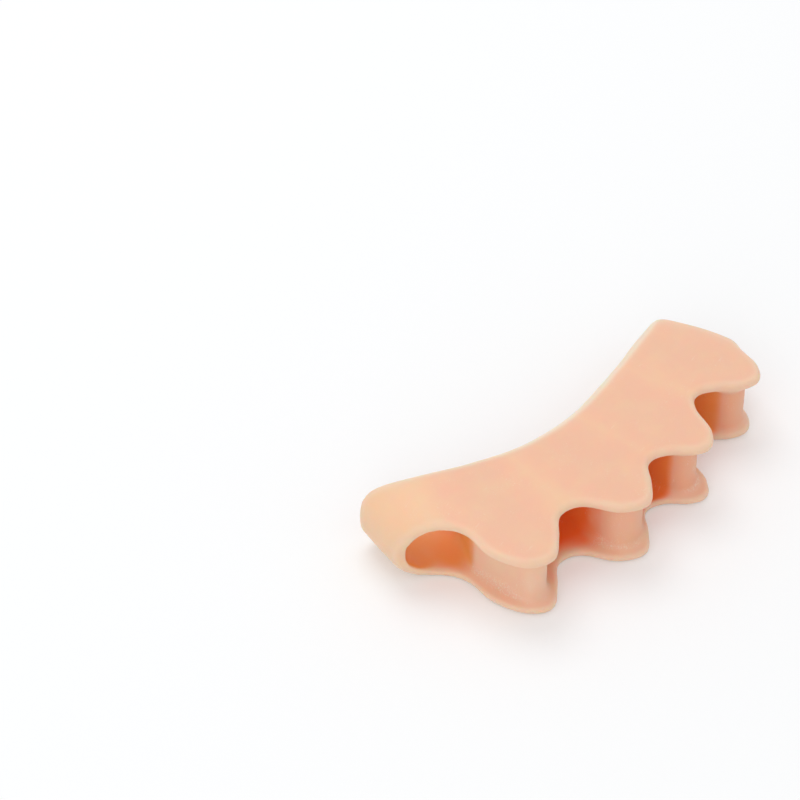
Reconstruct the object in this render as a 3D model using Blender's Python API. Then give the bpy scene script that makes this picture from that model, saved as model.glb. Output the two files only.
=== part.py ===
"""Silicone toe separator, moulded in one piece.

Two lobed sheets lie one above the other, the lower one drawn in a little at the
ends of its front edge. Four waisted pillars stand between them, one under each
lobe, and a round wall closes each end. The five spaces between pillars and walls
are the toe openings, and they run from the lobed front edge to the back edge.

The body is a slab with a lobed front, cut to shape by a slab with the back
edge and by one rounded cap for each end. The opening is cut out of it in one
piece: the space between the sheets and the end walls, less the pillars. The
skin is then relaxed so that every mouth is soft, as it is on the moulding.

Sizes are real sizes in metres. X runs along the part, from the wide end to the
narrow end, -Y is the lobed front and +Z is up. The part rests on its lower
sheet at z = 0, with the middle of its bounding box at x = 0, y = 0.
"""

import math

import bmesh
import bpy
from mathutils import Vector

MM = 0.001

# One square of the grid that the plan is drawn on
GRID = 1.0 * MM

# Heights and walls
HEIGHT = 17.2 * MM
SHEET_THICKNESS = 2.1 * MM
END_WALL_THICKNESS = 2.4 * MM

# Roundings in the vertical section, the end rounding with its own height and reach
FRONT_RIM_RADIUS = 1.0 * MM
BACK_EDGE_RADIUS = 3.4 * MM
END_ROUND_HEIGHT = 8.0 * MM
END_ROUND_REACH = 10.0 * MM
PILLAR_FILLET = 1.8 * MM

# Largest rounding, as a share of the wall or gap that it is on
ROUND_LIMIT = 0.46

# Lobed front edge in plan, in grid squares, from the wide end to the narrow end
FRONT_EDGE = (
    (-16.0, 58.0),
    (-2.4, 49.5),
    (4.4, 42.3),
    (8.6, 37.7),
    (10.7, 32.0),
    (8.2, 24.5),
    (9.3, 16.3),
    (14.5, 12.3),
    (20.3, 14.6),
    (25.8, 17.6),
    (30.5, 15.2),
    (33.1, 7.8),
    (38.2, 3.5),
    (43.6, 5.9),
    (48.6, 9.5),
    (53.0, 7.4),
    (55.9, 2.8),
    (59.7, 0.4),
    (64.4, 3.1),
    (67.9, 8.5),
    (71.6, 10.7),
    (75.5, 8.0),
    (78.8, 3.5),
    (83.0, 1.3),
    (87.1, 3.8),
    (90.0, 9.1),
    (93.0, 12.0),
    (97.0, 16.8),
    (104.0, 27.0),
)

# Where the lower sheet's front edge is drawn in: grid lines where that starts and is full, shift
LOWER_SHIFTS = (
    (15.0, 8.0, (1.4, 0.0)),
    (57.0, 79.0, (-0.9, 1.3)),
)

# Back edge in plan with both back corners, from the wide end to the narrow end
BACK_EDGE = (
    (-5.4, 12.0),
    (-0.9, 28.5),
    (2.2, 40.5),
    (5.8, 51.0),
    (7.4, 55.0),
    (9.7, 56.9),
    (12.6, 55.6),
    (16.5, 52.8),
    (22.6, 47.9),
    (29.6, 42.2),
    (40.2, 35.5),
    (53.8, 31.5),
    (70.0, 30.9),
    (82.0, 31.2),
    (88.5, 31.0),
    (91.8, 29.7),
    (94.0, 26.9),
    (95.1, 23.8),
    (96.0, 15.0),
    (95.1, 4.0),
    (91.8, -14.0),
)

# Outer faces of the end walls at mid height, from front to back
WIDE_END = ((-6.0, 12.0), (-0.8, 30.0), (2.6, 42.0), (6.6, 52.0), (14.0, 68.0))
NARROW_END = ((91.5, -14.0), (94.8, 4.0), (95.6, 15.0), (94.6, 25.0), (90.0, 44.0))

# Pillars at mid height: front centre, front radius, back centre, back radius
PILLARS = (
    ((14.6, 18.8), 3.8, (28.2, 42.4), 3.3),
    ((38.6, 11.0), 4.4, (43.6, 34.9), 3.7),
    ((59.0, 8.0), 4.4, (60.8, 33.4), 3.9),
    ((81.4, 8.2), 4.2, (78.4, 33.9), 3.6),
)

# Fineness of the built surface
CURVE_STEPS = 8
ROUND_STEPS = 6
PILLAR_SIDES = 56
SKIN_CELL = 0.42 * MM
SKIN_RELAX = 14
TRIANGLES = 10500


def smooth_curve(points):
    """Return a smooth plan curve in metres through points of the grid, run on straight at both ends."""
    p = [Vector(point) * GRID for point in points]
    p = [2 * p[0] - p[1]] + p + [2 * p[-1] - p[-2]]
    curve = []
    for a, b, c, d in zip(p[:-3], p[1:-2], p[2:-1], p[3:]):
        for step in range(CURVE_STEPS):
            t = step / CURVE_STEPS
            bend = t * (2 * a - 5 * b + 4 * c - d + t * (3 * (b - c) + d - a))
            curve.append(b + 0.5 * t * (c - a + bend))
    curve.append(p[-2])
    run_on = (curve[-1] - curve[0]).length
    start = curve[0] + run_on * (curve[0] - curve[1]).normalized()
    stop = curve[-1] + run_on * (curve[-1] - curve[-2]).normalized()
    return [start] + curve + [stop]


def set_in(curve, distance):
    """Return a curve moved sideways, to the left of its run, by a distance."""
    moved = []
    for before, here, after in zip([curve[0]] + curve[:-1], curve, curve[1:] + [curve[-1]]):
        run = (after - before).normalized()
        moved.append(here + distance * Vector((-run.y, run.x)))
    return moved


def drawn_in(curve):
    """Return the front edge of the lower sheet, which is drawn in smoothly at both ends."""
    moved = []
    for spot in curve:
        shift = Vector((0.0, 0.0))
        for start, full, reach in LOWER_SHIFTS:
            share = min(1.0, max(0.0, (spot.x / GRID - start) / (full - start)))
            shift += share * share * (3.0 - 2.0 * share) * GRID * Vector(reach)
        moved.append(spot + shift)
    return moved


def add_object(name, shape):
    """Put a finished bmesh into the scene as an object."""
    bmesh.ops.recalc_face_normals(shape, faces=shape.faces[:])
    mesh = bpy.data.meshes.new(name)
    shape.to_mesh(mesh)
    shape.free()
    made = bpy.data.objects.new(name, mesh)
    bpy.context.scene.collection.objects.link(made)
    return made


def add_boolean(target, tool, operation):
    """Add one Boolean step to an object."""
    step = target.modifiers.new(tool.name, "BOOLEAN")
    step.object = tool
    step.operation = operation
    step.solver = "MANIFOLD"


def as_cutter(cutter):
    """Keep an object as a cutting shape only."""
    cutter.hide_render = True
    cutter.display_type = "WIRE"
    return cutter


def slab(name, curves, side, low, high, rise, reach):
    """Return a level slab with one side along a curve, and that side's rims rounded.

    The curve is given for the underside and for the top. The slab lies to the left of its
    run where side is 1, to the right where it is -1. Each rim is a quarter of an ellipse,
    with a height of rise and a depth of reach.
    """
    rise = min(rise, ROUND_LIMIT * (high - low))
    lower, upper = curves
    chord = upper[-1] - upper[0]
    across = side * Vector((-chord.y, chord.x))
    levels = []
    for i in range(ROUND_STEPS + 1):
        angle = 0.5 * math.pi * i / ROUND_STEPS
        levels.append((low + rise * (1.0 - math.cos(angle)), reach * (1.0 - math.sin(angle))))
    levels += [(low + high - height, inset) for height, inset in reversed(levels)]
    shape = bmesh.new()
    rings = []
    for height, inset in levels:
        share = (height - low) / (high - low)
        edge = set_in([a.lerp(b, share) for a, b in zip(lower, upper)], side * inset)
        loop = edge + [upper[-1] + across, upper[0] + across]
        rings.append([shape.verts.new((p.x, p.y, height)) for p in loop])
    skin_between(shape, rings)
    return add_object(name, shape)


def skin_between(shape, rings):
    """Close a bmesh over a stack of rings that have equally many points."""
    for lower, upper in zip(rings[:-1], rings[1:]):
        for i in range(len(lower)):
            j = (i + 1) % len(lower)
            shape.faces.new((lower[i], lower[j], upper[j], upper[i]))
    shape.faces.new(rings[0])
    shape.faces.new(rings[-1])


def capsule_ring(shape, pillar, grow, height):
    """Add one level ring of a pillar, grown sideways by a distance."""
    (fx, fy), front_radius, (bx, by), back_radius = pillar
    front = Vector((fx, fy)) * GRID
    back = Vector((bx, by)) * GRID
    heading = math.atan2((back - front).y, (back - front).x)
    lean = math.asin((front_radius - back_radius) * GRID / (back - front).length)
    turn = 0.5 * math.pi - lean
    ring = []
    half = PILLAR_SIDES // 2
    for centre, radius, start, sweep in (
        (back, back_radius, -turn, 2.0 * turn),
        (front, front_radius, turn, 2.0 * (math.pi - turn)),
    ):
        for i in range(half):
            angle = heading + start + sweep * i / (half - 1)
            spot = centre + (radius * GRID + grow) * Vector((math.cos(angle), math.sin(angle)))
            ring.append(shape.verts.new((spot.x, spot.y, height)))
    return ring


def pillar_solid(name, pillar):
    """Return a waisted pillar that flares out into both sheets."""
    low = SHEET_THICKNESS
    high = HEIGHT - SHEET_THICKNESS
    fillet = min(PILLAR_FILLET, ROUND_LIMIT * (high - low))
    sections = [(fillet, 0.5 * low)]
    for i in range(ROUND_STEPS + 1):
        angle = 0.5 * math.pi * i / ROUND_STEPS
        sections.append((fillet * (1.0 - math.sin(angle)), low + fillet * (1.0 - math.cos(angle))))
    sections += [(grow, low + high - height) for grow, height in reversed(sections)]
    shape = bmesh.new()
    skin_between(shape, [capsule_ring(shape, pillar, grow, height) for grow, height in sections])
    return as_cutter(add_object(name, shape))


def opening_solid(wide, narrow):
    """Return the space between the sheets and the end walls, less the pillars."""
    low = SHEET_THICKNESS
    high = HEIGHT - SHEET_THICKNESS
    wide_inner = set_in(wide, -END_WALL_THICKNESS)
    narrow_inner = set_in(narrow, END_WALL_THICKNESS)
    rise = END_ROUND_HEIGHT - SHEET_THICKNESS
    reach = END_ROUND_REACH - END_WALL_THICKNESS
    opening = as_cutter(slab("opening", (wide_inner, wide_inner), -1.0, low, high, rise, reach))
    limit = as_cutter(slab("opening_limit", (narrow_inner, narrow_inner), 1.0, low, high, rise, reach))
    add_boolean(opening, limit, "INTERSECT")
    for number, pillar in enumerate(PILLARS, start=1):
        add_boolean(opening, pillar_solid("pillar_%d" % number, pillar), "DIFFERENCE")
    return opening


def silicone_material():
    """Return the soft peach silicone."""
    material = bpy.data.materials.new("peach_silicone")
    material.use_nodes = True
    shader = material.node_tree.nodes["Principled BSDF"]
    shader.inputs["Base Color"].default_value = (0.88, 0.56, 0.37, 1.0)
    shader.inputs["Roughness"].default_value = 0.45
    shader.inputs["Metallic"].default_value = 0.0
    material.diffuse_color = (0.88, 0.56, 0.37, 1.0)
    return material


def relax_skin(part):
    """Give the moulding one even skin with soft mouths."""
    skin = part.modifiers.new("skin", "REMESH")
    skin.mode = "VOXEL"
    skin.voxel_size = SKIN_CELL
    skin.use_smooth_shade = True
    soft = part.modifiers.new("soft_mouths", "SMOOTH")
    soft.factor = 0.5
    soft.iterations = round(SKIN_RELAX)
    fewer = part.modifiers.new("fewer_faces", "DECIMATE")
    evaluated = part.evaluated_get(bpy.context.evaluated_depsgraph_get())
    faces = sum(len(face.vertices) - 2 for face in evaluated.data.polygons)
    fewer.ratio = min(1.0, TRIANGLES / faces)
    fewer.use_collapse_triangulate = True


def centre_on_origin(part):
    """Carry the part and its cutting shapes on an empty that centres the finished body."""
    evaluated = part.evaluated_get(bpy.context.evaluated_depsgraph_get())
    spots = [vertex.co for vertex in evaluated.data.vertices]
    middle = [0.5 * (min(p[i] for p in spots) + max(p[i] for p in spots)) for i in (0, 1)]
    frame = bpy.data.objects.new("frame", None)
    bpy.context.scene.collection.objects.link(frame)
    frame.location = (-middle[0], -middle[1], -min(p[2] for p in spots))
    for made in bpy.context.scene.objects:
        if made is not frame:
            made.parent = frame


def build_separator():
    """Build the one moulded body of the part."""
    wide = smooth_curve(WIDE_END)
    narrow = smooth_curve(NARROW_END)
    front_rim = (FRONT_RIM_RADIUS, FRONT_RIM_RADIUS)
    back_rim = (BACK_EDGE_RADIUS, BACK_EDGE_RADIUS)
    end_round = (END_ROUND_HEIGHT, END_ROUND_REACH)
    front = smooth_curve(FRONT_EDGE)
    back = smooth_curve(BACK_EDGE)
    part = slab("toe_separator", (drawn_in(front), front), 1.0, 0.0, HEIGHT, *front_rim)
    part.data.materials.append(silicone_material())
    rear = as_cutter(slab("rear", (back, back), -1.0, 0.0, HEIGHT, *back_rim))
    wide_cap = as_cutter(slab("wide_cap", (wide, wide), -1.0, 0.0, HEIGHT, *end_round))
    narrow_cap = as_cutter(slab("narrow_cap", (narrow, narrow), 1.0, 0.0, HEIGHT, *end_round))
    for tool in (rear, wide_cap, narrow_cap):
        add_boolean(part, tool, "INTERSECT")
    add_boolean(part, opening_solid(wide, narrow), "DIFFERENCE")
    relax_skin(part)
    centre_on_origin(part)


for old in list(bpy.data.objects):
    bpy.data.objects.remove(old, do_unlink=True)
build_separator()
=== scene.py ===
"""Looks of the silicone toe separator: its fine skin, its silicone, the light and the camera.

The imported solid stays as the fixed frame. One finely meshed moulding stands for it. The moulding
is cut in the same way as the solid: a slab with a lobed front, a slab with the back edge, a round
cap for each end, and one opening that leaves four waisted pillars between the two sheets.
"""

import math

import bmesh
import bpy
from mathutils import Matrix, Vector


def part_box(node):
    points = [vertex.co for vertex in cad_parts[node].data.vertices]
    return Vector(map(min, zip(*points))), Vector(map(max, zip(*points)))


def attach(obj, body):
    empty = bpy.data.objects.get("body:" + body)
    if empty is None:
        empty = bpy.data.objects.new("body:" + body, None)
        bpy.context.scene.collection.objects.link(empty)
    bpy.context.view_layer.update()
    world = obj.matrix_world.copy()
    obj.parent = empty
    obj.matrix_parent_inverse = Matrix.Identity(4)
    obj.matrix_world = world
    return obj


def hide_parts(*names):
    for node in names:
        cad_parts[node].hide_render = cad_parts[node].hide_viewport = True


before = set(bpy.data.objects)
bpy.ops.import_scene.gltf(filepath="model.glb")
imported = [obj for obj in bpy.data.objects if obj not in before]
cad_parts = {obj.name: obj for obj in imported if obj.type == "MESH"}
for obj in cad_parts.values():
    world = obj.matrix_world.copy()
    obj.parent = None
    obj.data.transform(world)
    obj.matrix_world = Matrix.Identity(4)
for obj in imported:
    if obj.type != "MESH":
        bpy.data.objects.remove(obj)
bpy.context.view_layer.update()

MM = 0.001

# One square of the grid that the plan is drawn on
GRID = 1.0 * MM

# Heights and walls
HEIGHT = 17.2 * MM
SHEET_THICKNESS = 2.1 * MM
END_WALL_THICKNESS = 2.4 * MM

# Roundings in the vertical section, the end rounding with its own height and reach
FRONT_RIM_RADIUS = 1.0 * MM
BACK_EDGE_RADIUS = 3.4 * MM
END_ROUND_HEIGHT = 8.0 * MM
END_ROUND_REACH = 10.0 * MM
PILLAR_FILLET = 1.8 * MM

# Largest rounding, as a share of the wall or gap that it is on
ROUND_LIMIT = 0.46

# Lobed front edge in plan, in grid squares, from the wide end to the narrow end
FRONT_EDGE = (
    (-16.0, 58.0),
    (-2.4, 49.5),
    (4.4, 42.3),
    (8.6, 37.7),
    (10.7, 32.0),
    (8.2, 24.5),
    (9.3, 16.3),
    (14.5, 12.3),
    (20.3, 14.6),
    (25.8, 17.6),
    (30.5, 15.2),
    (33.1, 7.8),
    (38.2, 3.5),
    (43.6, 5.9),
    (48.6, 9.5),
    (53.0, 7.4),
    (55.9, 2.8),
    (59.7, 0.4),
    (64.4, 3.1),
    (67.9, 8.5),
    (71.6, 10.7),
    (75.5, 8.0),
    (78.8, 3.5),
    (83.0, 1.3),
    (87.1, 3.8),
    (90.0, 9.1),
    (93.0, 12.0),
    (97.0, 16.8),
    (104.0, 27.0),
)

# Where the lower sheet's front edge is drawn in: grid lines where that starts and is full, shift
LOWER_SHIFTS = (
    (15.0, 8.0, (1.4, 0.0)),
    (57.0, 79.0, (-0.9, 1.3)),
)

# Back edge in plan with both back corners, from the wide end to the narrow end
BACK_EDGE = (
    (-5.4, 12.0),
    (-0.9, 28.5),
    (2.2, 40.5),
    (5.8, 51.0),
    (7.4, 55.0),
    (9.7, 56.9),
    (12.6, 55.6),
    (16.5, 52.8),
    (22.6, 47.9),
    (29.6, 42.2),
    (40.2, 35.5),
    (53.8, 31.5),
    (70.0, 30.9),
    (82.0, 31.2),
    (88.5, 31.0),
    (91.8, 29.7),
    (94.0, 26.9),
    (95.1, 23.8),
    (96.0, 15.0),
    (95.1, 4.0),
    (91.8, -14.0),
)

# Outer faces of the end walls at mid height, from front to back
WIDE_END = ((-6.0, 12.0), (-0.8, 30.0), (2.6, 42.0), (6.6, 52.0), (14.0, 68.0))
NARROW_END = ((91.5, -14.0), (94.8, 4.0), (95.6, 15.0), (94.6, 25.0), (90.0, 44.0))

# Pillars at mid height: front centre, front radius, back centre, back radius. The first three
# stand as one, with a flank that bends half way back.
PILLARS = (
    ((15.4, 18.4), 3.3, (28.2, 42.4), 3.3),
    ((15.4, 18.4), 3.3, (17.2, 30.0), 3.2),
    ((17.2, 30.0), 3.2, (28.2, 42.4), 3.3),
    ((39.8, 11.2), 4.8, (43.8, 34.9), 3.7),
    ((59.6, 8.4), 4.2, (61.4, 33.4), 3.9),
    ((81.6, 8.6), 4.2, (78.6, 33.9), 3.6),
)

# Fineness of the moulding
CURVE_STEPS = 16
ROUND_STEPS = 12
PILLAR_SIDES = 112
SKIN_CELL = 0.40 * MM
SKIN_RELAX = 14

# Slow unevenness of the moulded faces
RIPPLE_HEIGHT = 0.05 * MM
RIPPLE_SIZE = 9.0 * MM

# Reach of the painted through-light tone round a pillar, and the swell that counts as a full rim
WARM_FROM = 1.1 * MM
WARM_TO = 7.5 * MM
RIM_BLUR = 34
RIM_SWELL = 0.32 * MM

# Looks out of the openings: their length, how far they lean off the face, how many go round for
# each lean, the blur over them, their start above the face and the axis that turns them
LOOK_LENGTH = 40.0 * MM
LOOK_LEANS = (0.35, 0.9, 2.2)
LOOK_TURNS = 8
LOOK_BLUR = 10
LOOK_START = 0.3 * MM
SIDE_AXIS = (0.31, 0.87, 0.38)

# Camera: place in the part's frame, then heading from +Y towards +X, tilt down and roll
CAMERA_PLACE = (-0.38563, -0.21108, 0.45103)
CAMERA_HEADING = 56.53
CAMERA_TILT = 44.2
CAMERA_ROLL = 1.15
SENSOR_WIDTH = 36.0
LENS = 130.5
CLIP_END = 20.0

# Room and floor
WHITE = (1.0, 1.0, 1.0, 1.0)
WORLD_STRENGTH = 0.69
FLOOR_SIZE = 6.0
FLOOR_COLOUR = (0.842, 0.85, 0.858, 1.0)
FLOOR_GLOW = 0.18

# Square lamps: power, side, distance, and way off the part as ahead, right and up
KEY_POWER = 1.9
KEY_SIZE = 0.55
KEY_DISTANCE = 0.9
KEY_WAY = (0.45, -0.20, 1.0)
FILL_POWER = 1.35
FILL_SIZE = 0.6
FILL_DISTANCE = 0.9
FILL_WAY = (-1.0, -0.35, 0.6)

# Silicone colours: plain; painted light over pillars, on rims and facing back; painted shade on
# pillars
PEACH = (0.93, 0.62, 0.405, 1.0)
PAINTED_THROUGH_LIGHT = (0.92, 0.555, 0.39, 1.0)
PAINTED_HIGHLIGHT = (0.985, 0.69, 0.51, 1.0)
PAINTED_BACK_LIGHT = (0.96, 0.76, 0.59, 1.0)
PAINTED_PILLAR_SHADE = (0.87, 0.41, 0.25, 1.0)

# Painted shade deep in the openings, for light thrown on many times there, and the colour of dust
AMBER_SHADE = (0.95, 0.22, 0.05, 1.0)
GOLD_SHADE = (0.93, 0.40, 0.12, 1.0)
CHALK = (0.96, 0.78, 0.65, 1.0)

# Patches of the silicone
CLOUD_SIZE = 9.0 * MM
FIELD_SIZE = 6.0 * MM
SHEEN_SIZE = 3.0 * MM
STREAK_SIZE = 1.0 * MM
GRAIN_SIZE = 0.45 * MM
DUST_SIZE = 0.35 * MM
STREAK_STRETCH = (0.25, 1.6, 0.6)

# Fades: a value's start and end, then the share at each of them where these aren't 0 and 1.
# X, Y and Z are places on the part, a facing is a part of the normal.
# The fades down to the dust ones place painted light and painted shade in the colour
BLUSH_BY_CLOUD = (0.25, 0.60, 0.45, 1.0)
CREAM_BY_RIM = (0.25, 1.1, 0.0, 0.65)
PALE_BY_FACING = (0.12, 0.45, 0.0, 0.9)
PALE_BY_ENCLOSED = (0.15, 0.35, 1.0, 0.0)
PALE_BY_X = (-38.0 * MM, -32.0 * MM)
DUSK_BY_X = (-24.0 * MM, -4.0 * MM, 0.0, 0.75)
DUSK_BY_LOW_Z = (2.2 * MM, 4.0 * MM)
DUSK_BY_HIGH_Z = (13.2 * MM, 15.0 * MM, 1.0, 0.0)
DEPTH_BY_X = (-26.0 * MM, 12.0 * MM, 0.0, 0.25)
WIDE_BACK_BY_X = (-30.0 * MM, -26.0 * MM, 0.26, 0.0)
WIDE_BACK_BY_Y = (-1.0 * MM, 3.5 * MM)
WIDE_BACK_BY_Z = (1.8 * MM, 3.4 * MM, 0.35, 1.0)
WIDE_FRONT_BY_X = (-26.0 * MM, -22.0 * MM, -0.3, 0.0)
WIDE_FRONT_BY_Y = (-12.0 * MM, -5.0 * MM, 1.0, 0.0)
DEEP_BY_DEPTH = (0.56, 0.84)
AMBER_BY_X = (-31.0 * MM, -25.0 * MM)
GOLD_BY_X = (-4.0 * MM, 14.0 * MM, 0.0, 0.65)
DUST_BY_SPECK = (0.60, 0.74)
DUST_BY_FIELD = (0.48, 0.66)
HOLLOW_BY_SPECK = (0.52, 0.62)
HOLLOW_BY_RIM = (-0.6, -0.15, 1.0, 0.0)
HOLLOW_BY_DEPTH = (0.60, 0.72, 1.0, 0.0)
SCRATCH_BY_STREAK = (0.69, 0.77)
SCRATCH_BY_FIELD = (0.5, 0.62)
ROUGHNESS_BY_SHEEN = (0.3, 0.7, 0.40, 0.52)
SCATTER_BY_RIM = (0.1, 0.9, 1.5 * MM, 0.4 * MM)

# Strength of the marks and of the grain, and how the silicone passes and bends light
DUST_SHARE = 0.65
DUST_ROUGHNESS = 0.25
SCRATCH_SHARE = 0.35
GRAIN_STRENGTH = 0.5
GRAIN_HEIGHT = 0.03 * MM
SCATTER_REACH = (1.0, 0.50, 0.32)
SILICONE_IOR = 1.41
SILICONE_SHINE = 0.4


def smooth_curve(points):
    """Return a smooth plan curve in metres through grid points, run on straight at both ends."""
    p = [Vector(point) * GRID for point in points]
    p = [2 * p[0] - p[1]] + p + [2 * p[-1] - p[-2]]
    curve = []
    for a, b, c, d in zip(p[:-3], p[1:-2], p[2:-1], p[3:]):
        for step in range(CURVE_STEPS):
            t = step / CURVE_STEPS
            bend = t * (2 * a - 5 * b + 4 * c - d + t * (3 * (b - c) + d - a))
            curve.append(b + 0.5 * t * (c - a + bend))
    curve.append(p[-2])
    run_on = (curve[-1] - curve[0]).length
    start = curve[0] + run_on * (curve[0] - curve[1]).normalized()
    stop = curve[-1] + run_on * (curve[-1] - curve[-2]).normalized()
    return [start] + curve + [stop]


def set_in(curve, distance):
    """Return a curve moved sideways, to the left of its run, by a distance."""
    moved = []
    for before, here, after in zip([curve[0]] + curve[:-1], curve, curve[1:] + [curve[-1]]):
        run = (after - before).normalized()
        moved.append(here + distance * Vector((-run.y, run.x)))
    return moved


def drawn_in(curve):
    """Return the front edge of the lower sheet, which is drawn in smoothly at both ends."""
    moved = []
    for spot in curve:
        shift = Vector((0.0, 0.0))
        for start, full, reach in LOWER_SHIFTS:
            share = min(1.0, max(0.0, (spot.x / GRID - start) / (full - start)))
            shift += share * share * (3.0 - 2.0 * share) * GRID * Vector(reach)
        moved.append(spot + shift)
    return moved


def add_object(name, shape):
    """Put a finished bmesh into the scene as an object."""
    bmesh.ops.recalc_face_normals(shape, faces=shape.faces[:])
    mesh = bpy.data.meshes.new(name)
    shape.to_mesh(mesh)
    shape.free()
    made = bpy.data.objects.new(name, mesh)
    bpy.context.scene.collection.objects.link(made)
    return made


def add_boolean(target, tool, operation):
    """Add one Boolean step to an object."""
    step = target.modifiers.new(tool.name, "BOOLEAN")
    step.object = tool
    step.operation = operation
    step.solver = "MANIFOLD"


def slab(name, curves, side, low, high, rise, reach):
    """Return a level slab with one side along a curve, and that side's rims rounded.

    The curve is given for the underside and for the top. The slab lies to the left of its
    run where side is 1, to the right where it is -1. Each rim is a quarter of an ellipse,
    with a height of rise and a depth of reach.
    """
    rise = min(rise, ROUND_LIMIT * (high - low))
    lower, upper = curves
    chord = upper[-1] - upper[0]
    across = side * Vector((-chord.y, chord.x))
    levels = []
    for i in range(ROUND_STEPS + 1):
        angle = 0.5 * math.pi * i / ROUND_STEPS
        levels.append((low + rise * (1.0 - math.cos(angle)), reach * (1.0 - math.sin(angle))))
    levels += [(low + high - height, inset) for height, inset in reversed(levels)]
    shape = bmesh.new()
    rings = []
    for height, inset in levels:
        share = (height - low) / (high - low)
        edge = set_in([a.lerp(b, share) for a, b in zip(lower, upper)], side * inset)
        loop = edge + [upper[-1] + across, upper[0] + across]
        rings.append([shape.verts.new((p.x, p.y, height)) for p in loop])
    skin_between(shape, rings)
    return add_object(name, shape)


def skin_between(shape, rings):
    """Close a bmesh over a stack of rings that have equally many points."""
    for lower, upper in zip(rings[:-1], rings[1:]):
        for i in range(len(lower)):
            j = (i + 1) % len(lower)
            shape.faces.new((lower[i], lower[j], upper[j], upper[i]))
    shape.faces.new(rings[0])
    shape.faces.new(rings[-1])


def capsule_ring(shape, pillar, grow, height):
    """Add one level ring of a pillar, grown sideways by a distance."""
    (fx, fy), front_radius, (bx, by), back_radius = pillar
    front = Vector((fx, fy)) * GRID
    back = Vector((bx, by)) * GRID
    heading = math.atan2((back - front).y, (back - front).x)
    lean = math.asin((front_radius - back_radius) * GRID / (back - front).length)
    turn = 0.5 * math.pi - lean
    ring = []
    half = PILLAR_SIDES // 2
    for centre, radius, start, sweep in (
        (back, back_radius, -turn, 2.0 * turn),
        (front, front_radius, turn, 2.0 * (math.pi - turn)),
    ):
        for i in range(half):
            angle = heading + start + sweep * i / (half - 1)
            spot = centre + (radius * GRID + grow) * Vector((math.cos(angle), math.sin(angle)))
            ring.append(shape.verts.new((spot.x, spot.y, height)))
    return ring


def add_pillar(shape, pillar):
    """Add one waisted pillar that flares out into both sheets."""
    low = SHEET_THICKNESS
    high = HEIGHT - SHEET_THICKNESS
    fillet = min(PILLAR_FILLET, ROUND_LIMIT * (high - low))
    sections = [(fillet, 0.5 * low)]
    for i in range(ROUND_STEPS + 1):
        angle = 0.5 * math.pi * i / ROUND_STEPS
        sections.append((fillet * (1.0 - math.sin(angle)), low + fillet * (1.0 - math.cos(angle))))
    sections += [(grow, low + high - height) for grow, height in reversed(sections)]
    skin_between(shape, [capsule_ring(shape, pillar, grow, height) for grow, height in sections])


def pillar_object(name, pillars):
    """Return an object with the given pillars."""
    shape = bmesh.new()
    for pillar in pillars:
        add_pillar(shape, pillar)
    return add_object(name, shape)


def opening_object(wide, narrow):
    """Return the space between the sheets and the end walls, less the pillars, and its tools."""
    low = SHEET_THICKNESS
    high = HEIGHT - SHEET_THICKNESS
    wide_inner = set_in(wide, -END_WALL_THICKNESS)
    narrow_inner = set_in(narrow, END_WALL_THICKNESS)
    rise = END_ROUND_HEIGHT - SHEET_THICKNESS
    reach = END_ROUND_REACH - END_WALL_THICKNESS
    opening = slab("opening", (wide_inner, wide_inner), -1.0, low, high, rise, reach)
    limit = slab("opening_limit", (narrow_inner, narrow_inner), 1.0, low, high, rise, reach)
    add_boolean(opening, limit, "INTERSECT")
    tools = [opening, limit]
    for number, pillar in enumerate(PILLARS, start=1):
        post = pillar_object("pillar_%d" % number, [pillar])
        add_boolean(opening, post, "DIFFERENCE")
        tools.append(post)
    return opening, tools


def add_node(tree, kind, **settings):
    """Add a node and set its own properties."""
    node = tree.nodes.new(kind)
    for name, value in settings.items():
        setattr(node, name, value)
    return node


def math_node(tree, operation, first, second=None):
    """Add a Math node on sockets or numbers and return its result."""
    node = add_node(tree, "ShaderNodeMath", operation=operation)
    for socket, value in zip(node.inputs, (first, second)):
        if isinstance(value, bpy.types.NodeSocket):
            tree.links.new(value, socket)
        elif value is not None:
            socket.default_value = value
    return node.outputs[0]


def vector_node(tree, operation, first, second):
    """Add a Vector Math node on sockets or vectors and return its result."""
    node = add_node(tree, "ShaderNodeVectorMath", operation=operation)
    for socket, value in zip(node.inputs, (first, second)):
        if isinstance(value, bpy.types.NodeSocket):
            tree.links.new(value, socket)
        else:
            socket.default_value = value
    return next(s for s in node.outputs if s.enabled)


def added(tree, base, way, amount):
    """Return a vector plus another one times a number."""
    return vector_node(tree, "ADD", base, vector_node(tree, "MULTIPLY", way, (amount, amount, amount)))


def place_of(tree):
    """Return the place of each point."""
    return add_node(tree, "GeometryNodeInputPosition").outputs[0]


def normal_of(tree):
    """Return the normal at each point."""
    return add_node(tree, "GeometryNodeInputNormal").outputs[0]


def blurred(tree, value, steps, kind):
    """Return a value that is averaged with its neighbours a number of times."""
    node = add_node(tree, "GeometryNodeBlurAttribute", data_type=kind)
    tree.links.new(value, next(s for s in node.inputs if s.name == "Value" and s.enabled))
    tree.links.new(steps, node.inputs["Iterations"])
    return next(s for s in node.outputs if s.enabled)


def kept(tree, geometry, name, value):
    """Keep a number on each point under a name and return the geometry."""
    node = add_node(tree, "GeometryNodeStoreNamedAttribute", data_type="FLOAT", domain="POINT")
    node.inputs["Name"].default_value = name
    tree.links.new(geometry, node.inputs["Geometry"])
    tree.links.new(value, node.inputs["Value"])
    return node.outputs[0]


def placed(tree, geometry, socket, vector):
    """Set the place or the offset of each point and return the geometry."""
    node = add_node(tree, "GeometryNodeSetPosition")
    tree.links.new(geometry, node.inputs["Geometry"])
    tree.links.new(vector, node.inputs[socket])
    return node.outputs[0]


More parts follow.
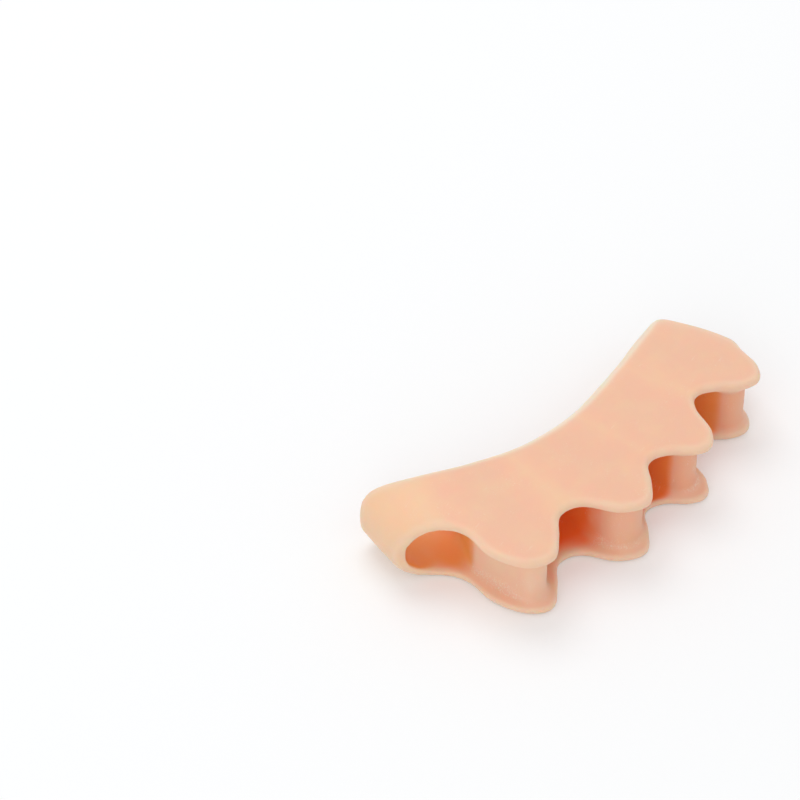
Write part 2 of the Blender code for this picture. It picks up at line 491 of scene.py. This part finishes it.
def ripple(tree, given):
    """Return the slow unevenness of the faces, as an offset along the normal."""
    noise = add_node(tree, "ShaderNodeTexNoise")
    noise.inputs["Detail"].default_value = 1.0
    tree.links.new(math_node(tree, "DIVIDE", 1.0, given["Ripple Size"]), noise.inputs["Scale"])
    lift = math_node(tree, "SUBTRACT", noise.outputs["Fac"], 0.5)
    lift = math_node(tree, "MULTIPLY", lift, given["Ripple Height"])
    return vector_node(tree, "MULTIPLY", normal_of(tree), lift)


def pillar_share(tree, given):
    """Return 1 next to a pillar, fading to 0 away from it."""
    posts = add_node(tree, "GeometryNodeObjectInfo", transform_space="RELATIVE")
    tree.links.new(given["Pillars"], posts.inputs["Object"])
    near = add_node(tree, "GeometryNodeProximity", target_element="FACES")
    tree.links.new(posts.outputs["Geometry"], near.inputs[0])
    fade = add_node(tree, "ShaderNodeMapRange", interpolation_type="SMOOTHSTEP")
    tree.links.new(near.outputs["Distance"], fade.inputs["Value"])
    tree.links.new(given["Warm From"], fade.inputs["From Min"])
    tree.links.new(given["Warm To"], fade.inputs["From Max"])
    fade.inputs["To Min"].default_value = 1.0
    fade.inputs["To Max"].default_value = 0.0
    return fade.outputs[0]


def rim_share(tree, given):
    """Return how far a point stands out from its surroundings, as a share of a full rim."""
    around = blurred(tree, place_of(tree), given["Rim Steps"], "FLOAT_VECTOR")
    bulge = vector_node(tree, "SUBTRACT", place_of(tree), around)
    outward = vector_node(tree, "DOT_PRODUCT", bulge, normal_of(tree))
    return math_node(tree, "DIVIDE", outward, given["Rim Swell"])


def enclosed_share(tree, geometry, given):
    """Return the share of looks off a point that meet silicone."""
    normal = normal_of(tree)
    first_side = vector_node(tree, "CROSS_PRODUCT", normal, SIDE_AXIS)
    node = add_node(tree, "ShaderNodeVectorMath", operation="NORMALIZE")
    tree.links.new(first_side, node.inputs[0])
    first_side = node.outputs[0]
    second_side = vector_node(tree, "CROSS_PRODUCT", normal, first_side)
    start = added(tree, place_of(tree), normal, LOOK_START)
    met = None
    for lean in LOOK_LEANS:
        for turn in range(LOOK_TURNS):
            angle = 2.0 * math.pi * turn / LOOK_TURNS
            way = added(tree, normal, first_side, lean * math.cos(angle))
            way = added(tree, way, second_side, lean * math.sin(angle))
            look = add_node(tree, "GeometryNodeRaycast")
            tree.links.new(geometry, look.inputs["Target Geometry"])
            tree.links.new(start, look.inputs["Source Position"])
            tree.links.new(way, look.inputs["Ray Direction"])
            tree.links.new(given["Look Length"], look.inputs["Ray Length"])
            hit = look.outputs["Is Hit"]
            met = hit if met is None else math_node(tree, "ADD", met, hit)
    share = math_node(tree, "DIVIDE", met, float(LOOK_TURNS * len(LOOK_LEANS)))
    return blurred(tree, share, given["Look Blur"], "FLOAT")


def skin_tree():
    """Return the node tree that softens the moulding and marks its pillars, rims and openings.

    The faces are relaxed and given a slow unevenness. Three numbers are kept for the silicone:
    over_pillar is 1 where a pillar stands right behind the face, rim is 1 on outward roundings
    and -1 in hollows, and enclosed grows to 1 deep in the openings, where looks that lean off
    the face to every side all meet silicone.
    """
    tree = bpy.data.node_groups.new("moulded_skin", "GeometryNodeTree")
    tree.interface.new_socket("Geometry", in_out="INPUT", socket_type="NodeSocketGeometry")
    for name, kind in (
        ("Relax Steps", "NodeSocketInt"),
        ("Ripple Height", "NodeSocketFloat"),
        ("Ripple Size", "NodeSocketFloat"),
        ("Pillars", "NodeSocketObject"),
        ("Warm From", "NodeSocketFloat"),
        ("Warm To", "NodeSocketFloat"),
        ("Rim Steps", "NodeSocketInt"),
        ("Rim Swell", "NodeSocketFloat"),
        ("Look Length", "NodeSocketFloat"),
        ("Look Blur", "NodeSocketInt"),
        ("Silicone", "NodeSocketMaterial"),
    ):
        tree.interface.new_socket(name, in_out="INPUT", socket_type=kind)
    tree.interface.new_socket("Geometry", in_out="OUTPUT", socket_type="NodeSocketGeometry")
    given = add_node(tree, "NodeGroupInput").outputs

    smooth_place = blurred(tree, place_of(tree), given["Relax Steps"], "FLOAT_VECTOR")
    skin = placed(tree, given["Geometry"], "Position", smooth_place)
    skin = placed(tree, skin, "Offset", ripple(tree, given))
    skin = kept(tree, skin, "over_pillar", pillar_share(tree, given))
    skin = kept(tree, skin, "rim", rim_share(tree, given))
    skin = kept(tree, skin, "enclosed", enclosed_share(tree, skin, given))

    real = add_node(tree, "GeometryNodeRealizeInstances")
    tree.links.new(skin, real.inputs[0])
    coated = add_node(tree, "GeometryNodeSetMaterial")
    tree.links.new(real.outputs[0], coated.inputs["Geometry"])
    tree.links.new(given["Silicone"], coated.inputs["Material"])
    tree.links.new(coated.outputs[0], add_node(tree, "NodeGroupOutput").inputs[0])
    return tree


def colour_mix(tree, amount, first, second):
    """Mix two colours by a factor socket and return the result."""
    node = add_node(tree, "ShaderNodeMix", data_type="RGBA")
    sockets = (node.inputs["Factor"], node.inputs[6], node.inputs[7])
    for socket, value in zip(sockets, (amount, first, second)):
        if isinstance(value, bpy.types.NodeSocket):
            tree.links.new(value, socket)
        else:
            socket.default_value = value
    return node.outputs[2]


def noise_fac(tree, place, size, detail=2.0, roughness=0.5, stretch=(1.0, 1.0, 1.0)):
    """Return noise whose patches are about the given size in metres."""
    spread = add_node(tree, "ShaderNodeMapping")
    tree.links.new(place, spread.inputs["Vector"])
    spread.inputs["Scale"].default_value = stretch
    node = add_node(tree, "ShaderNodeTexNoise")
    tree.links.new(spread.outputs[0], node.inputs["Vector"])
    node.inputs["Scale"].default_value = 1.0 / size
    node.inputs["Detail"].default_value = detail
    node.inputs["Roughness"].default_value = roughness
    return node.outputs["Fac"]


def ranged(tree, value, low, high, to_low=0.0, to_high=1.0):
    """Map a value smoothly from one range to another."""
    node = add_node(tree, "ShaderNodeMapRange", interpolation_type="SMOOTHSTEP")
    tree.links.new(value, node.inputs["Value"])
    node.inputs["From Min"].default_value = low
    node.inputs["From Max"].default_value = high
    node.inputs["To Min"].default_value = to_low
    node.inputs["To Max"].default_value = to_high
    return node.outputs[0]


def product(tree, first, *others):
    """Multiply sockets or numbers and return the result."""
    for other in others:
        first = math_node(tree, "MULTIPLY", first, other)
    return first


def kept_number(tree, name):
    """Return a number that is kept on the mesh."""
    return add_node(tree, "ShaderNodeAttribute", attribute_name=name).outputs["Fac"]


def parts_of(tree, vector):
    """Return the X, Y and Z of a vector."""
    node = add_node(tree, "ShaderNodeSeparateXYZ")
    tree.links.new(vector, node.inputs[0])
    return node.outputs["X"], node.outputs["Y"], node.outputs["Z"]


def opening_depth(tree, place, enclosed):
    """Return how deep in an opening the silicone looks, which sets the painted shade there.

    The narrower openings look deeper. In the opening at the wide end the back looks deeper,
    and beside the first pillar the front looks more open.
    """
    x, y, z = parts_of(tree, place)
    depth = math_node(tree, "ADD", enclosed, ranged(tree, x, *DEPTH_BY_X))
    wide_back = product(
        tree,
        ranged(tree, x, *WIDE_BACK_BY_X),
        ranged(tree, y, *WIDE_BACK_BY_Y),
        ranged(tree, z, *WIDE_BACK_BY_Z),
    )
    wide_front = product(
        tree,
        ranged(tree, x, *WIDE_FRONT_BY_X),
        ranged(tree, y, *WIDE_FRONT_BY_Y),
    )
    return math_node(tree, "ADD", depth, math_node(tree, "ADD", wide_back, wide_front))


def with_painted_shade(tree, colour, place, depth):
    """Return the colour with painted shade, dusk on the pillars and amber or gold deep in the
    openings.
    """
    x, y, z = parts_of(tree, place)
    # Painted shade on the pillar faces between the sheets
    painted_pillar_shade = product(
        tree,
        ranged(tree, x, *DUSK_BY_X),
        ranged(tree, z, *DUSK_BY_LOW_Z),
        ranged(tree, z, *DUSK_BY_HIGH_Z),
    )
    colour = colour_mix(tree, painted_pillar_shade, colour, PAINTED_PILLAR_SHADE)
    deep = colour_mix(tree, ranged(tree, x, *AMBER_BY_X), GOLD_SHADE, AMBER_SHADE)
    deep = colour_mix(tree, ranged(tree, x, *GOLD_BY_X), deep, GOLD_SHADE)
    return colour_mix(tree, ranged(tree, depth, *DEEP_BY_DEPTH), colour, deep)


def with_painted_light(tree, colour, place, normal, enclosed):
    """Return the colour with painted light, lighter where the outside faces back."""
    painted_light_share = product(
        tree,
        ranged(tree, parts_of(tree, normal)[1], *PALE_BY_FACING),
        ranged(tree, enclosed, *PALE_BY_ENCLOSED),
        ranged(tree, parts_of(tree, place)[0], *PALE_BY_X),
    )
    return colour_mix(tree, painted_light_share, colour, PAINTED_BACK_LIGHT)


def dust_share(tree, place, field, rim, depth):
    """Return the share of dust, in fields on the faces and in the hollows near the mouths."""
    speck = noise_fac(tree, place, DUST_SIZE, 2.0, 0.7)
    dust = product(
        tree,
        ranged(tree, speck, *DUST_BY_SPECK),
        ranged(tree, field, *DUST_BY_FIELD),
    )
    hollow = product(
        tree,
        ranged(tree, speck, *HOLLOW_BY_SPECK),
        ranged(tree, rim, *HOLLOW_BY_RIM),
        ranged(tree, depth, *HOLLOW_BY_DEPTH),
    )
    return product(tree, math_node(tree, "MAXIMUM", dust, hollow), DUST_SHARE)


def scratch_share(tree, place, field):
    """Return the share of faint scratches, in fields on the faces."""
    streak = noise_fac(tree, place, STREAK_SIZE, 1.0, 0.5, STREAK_STRETCH)
    return product(
        tree,
        ranged(tree, streak, *SCRATCH_BY_STREAK),
        ranged(tree, field, *SCRATCH_BY_FIELD),
        SCRATCH_SHARE,
    )


def peach_silicone():
    """Return the soft, satin, slightly clear peach silicone, with painted light and shade in its
    colour.
    """
    material = bpy.data.materials.new("peach_silicone")
    material.use_nodes = True
    tree = material.node_tree
    link = tree.links.new
    shader = tree.nodes["Principled BSDF"].inputs
    coordinates = add_node(tree, "ShaderNodeTexCoord").outputs
    place = coordinates["Object"]
    rim = kept_number(tree, "rim")
    enclosed = kept_number(tree, "enclosed")
    depth = opening_depth(tree, place, enclosed)
    field = noise_fac(tree, place, FIELD_SIZE, 2.0)
    dust = dust_share(tree, place, field, rim, depth)

    cloud = noise_fac(tree, place, CLOUD_SIZE, 3.0, 0.55)
    # Painted tone over the pillars, for light passing through the thicker silicone there
    painted_through_light = product(tree, kept_number(tree, "over_pillar"), ranged(tree, cloud, *BLUSH_BY_CLOUD))
    colour = colour_mix(tree, painted_through_light, PEACH, PAINTED_THROUGH_LIGHT)
    # Painted highlight on the outward rims
    colour = colour_mix(tree, ranged(tree, rim, *CREAM_BY_RIM), colour, PAINTED_HIGHLIGHT)
    # Painted shade on the pillars and deep in the openings
    colour = with_painted_shade(tree, colour, place, depth)
    # Painted light where the outside faces back
    colour = with_painted_light(tree, colour, place, coordinates["Normal"], enclosed)
    colour = colour_mix(tree, dust, colour, CHALK)
    colour = colour_mix(tree, scratch_share(tree, place, field), colour, CHALK)
    link(colour, shader["Base Color"])

    sheen = noise_fac(tree, place, SHEEN_SIZE, 3.0, 0.6)
    dull = product(tree, dust, DUST_ROUGHNESS)
    rough = math_node(tree, "ADD", ranged(tree, sheen, *ROUGHNESS_BY_SHEEN), dull)
    link(rough, shader["Roughness"])

    bump = add_node(tree, "ShaderNodeBump")
    bump.inputs["Strength"].default_value = GRAIN_STRENGTH
    bump.inputs["Distance"].default_value = GRAIN_HEIGHT
    link(noise_fac(tree, place, GRAIN_SIZE, 3.0, 0.6), bump.inputs["Height"])
    link(bump.outputs[0], shader["Normal"])

    shader["Subsurface Weight"].default_value = 1.0
    shader["Subsurface Radius"].default_value = SCATTER_REACH
    link(ranged(tree, rim, *SCATTER_BY_RIM), shader["Subsurface Scale"])
    shader["IOR"].default_value = SILICONE_IOR
    shader["Specular IOR Level"].default_value = SILICONE_SHINE
    return material


def mesh_centre(mesh):
    """Return the centre of a mesh's box."""
    spots = [vertex.co for vertex in mesh.vertices]
    return Vector([0.5 * (min(p[i] for p in spots) + max(p[i] for p in spots)) for i in range(3)])


def moulding(silicone):
    """Return the finely meshed separator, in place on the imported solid's box."""
    wide = smooth_curve(WIDE_END)
    narrow = smooth_curve(NARROW_END)
    front = smooth_curve(FRONT_EDGE)
    back = smooth_curve(BACK_EDGE)
    front_rim = (FRONT_RIM_RADIUS, FRONT_RIM_RADIUS)
    back_rim = (BACK_EDGE_RADIUS, BACK_EDGE_RADIUS)
    end_round = (END_ROUND_HEIGHT, END_ROUND_REACH)
    body = slab("cut_body", (drawn_in(front), front), 1.0, 0.0, HEIGHT, *front_rim)
    rear = slab("rear", (back, back), -1.0, 0.0, HEIGHT, *back_rim)
    wide_cap = slab("wide_cap", (wide, wide), -1.0, 0.0, HEIGHT, *end_round)
    narrow_cap = slab("narrow_cap", (narrow, narrow), 1.0, 0.0, HEIGHT, *end_round)
    for tool in (rear, wide_cap, narrow_cap):
        add_boolean(body, tool, "INTERSECT")
    opening, tools = opening_object(wide, narrow)
    add_boolean(body, opening, "DIFFERENCE")
    posts = pillar_object("posts", PILLARS)
    remesh = body.modifiers.new("remesh", "REMESH")
    remesh.mode = "VOXEL"
    remesh.voxel_size = SKIN_CELL
    finish = body.modifiers.new("skin", "NODES")
    finish.node_group = skin_tree()
    values = {
        "Relax Steps": SKIN_RELAX,
        "Ripple Height": RIPPLE_HEIGHT,
        "Ripple Size": RIPPLE_SIZE,
        "Pillars": posts,
        "Warm From": WARM_FROM,
        "Warm To": WARM_TO,
        "Rim Steps": RIM_BLUR,
        "Rim Swell": RIM_SWELL,
        "Look Length": LOOK_LENGTH,
        "Look Blur": LOOK_BLUR,
        "Silicone": silicone,
    }
    for item in finish.node_group.interface.items_tree:
        if item.in_out == "INPUT" and item.name in values:
            finish[item.identifier] = values[item.name]
    evaluated = body.evaluated_get(bpy.context.evaluated_depsgraph_get())
    mesh = bpy.data.meshes.new_from_object(evaluated)
    for used in [body, rear, wide_cap, narrow_cap, posts] + tools:
        bpy.data.objects.remove(used, do_unlink=True)
    centre = 0.5 * (Vector(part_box("toe_separator")[0]) + Vector(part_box("toe_separator")[1]))
    mesh.transform(Matrix.Translation(centre - mesh_centre(mesh)))
    mesh.shade_smooth()
    piece = bpy.data.objects.new("silicone_moulding", mesh)
    bpy.context.scene.collection.objects.link(piece)
    return piece


def plain_view(tree):
    """Return 1 for rays that show the background, straight, off gloss or through clear stuff."""
    ray = add_node(tree, "ShaderNodeLightPath")
    seen = math_node(tree, "MAXIMUM", ray.outputs["Is Camera Ray"], ray.outputs["Is Glossy Ray"])
    return math_node(tree, "MAXIMUM", seen, ray.outputs["Is Transmission Ray"])


def studio_floor():
    """Return a plain white floor that shows the part's shadow."""
    shape = bmesh.new()
    bmesh.ops.create_grid(shape, x_segments=1, y_segments=1, size=0.5 * FLOOR_SIZE)
    floor = add_object("floor", shape)
    material = bpy.data.materials.new("white_floor")
    material.use_nodes = True
    tree = material.node_tree
    link = tree.links.new
    tree.nodes.remove(tree.nodes["Principled BSDF"])
    paper = add_node(tree, "ShaderNodeBsdfDiffuse")
    paper.inputs["Color"].default_value = FLOOR_COLOUR
    glow = add_node(tree, "ShaderNodeEmission")
    glow.inputs["Color"].default_value = WHITE
    glow.inputs["Strength"].default_value = FLOOR_GLOW
    both = add_node(tree, "ShaderNodeAddShader")
    link(paper.outputs[0], both.inputs[0])
    link(glow.outputs[0], both.inputs[1])
    seen = add_node(tree, "ShaderNodeMixShader")
    link(plain_view(tree), seen.inputs[0])
    link(paper.outputs[0], seen.inputs[1])
    link(both.outputs[0], seen.inputs[2])
    link(seen.outputs[0], tree.nodes["Material Output"].inputs["Surface"])
    floor.data.materials.append(material)
    return floor


def area_lamp(name, power, size, distance, way):
    """Add a square lamp that stands off the part, along the camera's heading, and shines on it."""
    lamp = bpy.data.lights.new(name, "AREA")
    lamp.shape = "SQUARE"
    lamp.size = size
    lamp.energy = power
    stand = bpy.data.objects.new(name, lamp)
    bpy.context.scene.collection.objects.link(stand)
    heading = math.radians(CAMERA_HEADING)
    ahead = Vector((math.sin(heading), math.cos(heading), 0.0))
    right = Vector((ahead.y, -ahead.x, 0.0))
    towards = (way[0] * ahead + way[1] * right + Vector((0.0, 0.0, way[2]))).normalized()
    stand.rotation_euler = towards.to_track_quat("Z", "Y").to_euler()
    stand.location = distance * towards


def studio_light():
    """Light the part with an even white room, a broad lamp above it and a softer one in front."""
    scene = bpy.context.scene
    world = bpy.data.worlds.new("white_room")
    scene.world = world
    world.use_nodes = True
    tree = world.node_tree
    link = tree.links.new
    room = tree.nodes["Background"]
    room.inputs["Color"].default_value = WHITE
    room.inputs["Strength"].default_value = WORLD_STRENGTH
    white = add_node(tree, "ShaderNodeBackground")
    white.inputs["Color"].default_value = WHITE
    white.inputs["Strength"].default_value = 1.0
    seen = add_node(tree, "ShaderNodeMixShader")
    link(plain_view(tree), seen.inputs[0])
    link(room.outputs[0], seen.inputs[1])
    link(white.outputs[0], seen.inputs[2])
    link(seen.outputs[0], tree.nodes["World Output"].inputs["Surface"])

    area_lamp("key", KEY_POWER, KEY_SIZE, KEY_DISTANCE, KEY_WAY)
    area_lamp("fill", FILL_POWER, FILL_SIZE, FILL_DISTANCE, FILL_WAY)


def photo_camera():
    """Stand the camera where the photograph was taken from."""
    heading = math.radians(CAMERA_HEADING)
    tilt = math.radians(CAMERA_TILT)
    roll = math.radians(CAMERA_ROLL)
    level = Vector((math.sin(heading), math.cos(heading), 0.0))
    ahead = math.cos(tilt) * level - math.sin(tilt) * Vector((0.0, 0.0, 1.0))
    right = Vector((math.cos(heading), -math.sin(heading), 0.0))
    up = right.cross(ahead)
    turned_right = right * math.cos(roll) - up * math.sin(roll)
    turned_up = right * math.sin(roll) + up * math.cos(roll)
    lens = bpy.data.cameras.new("photo_camera")
    lens.sensor_width = SENSOR_WIDTH
    lens.lens = LENS
    lens.clip_end = CLIP_END
    camera = bpy.data.objects.new("photo_camera", lens)
    bpy.context.scene.collection.objects.link(camera)
    axes = Matrix((turned_right, turned_up, -ahead)).transposed().to_4x4()
    camera.matrix_world = Matrix.Translation(CAMERA_PLACE) @ axes
    bpy.context.scene.camera = camera


photo_camera()
studio_light()
studio_floor()

silicone = peach_silicone()
piece = moulding(silicone)
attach(piece, "root")
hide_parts("toe_separator")

bpy.context.scene.view_settings.view_transform = "Standard"
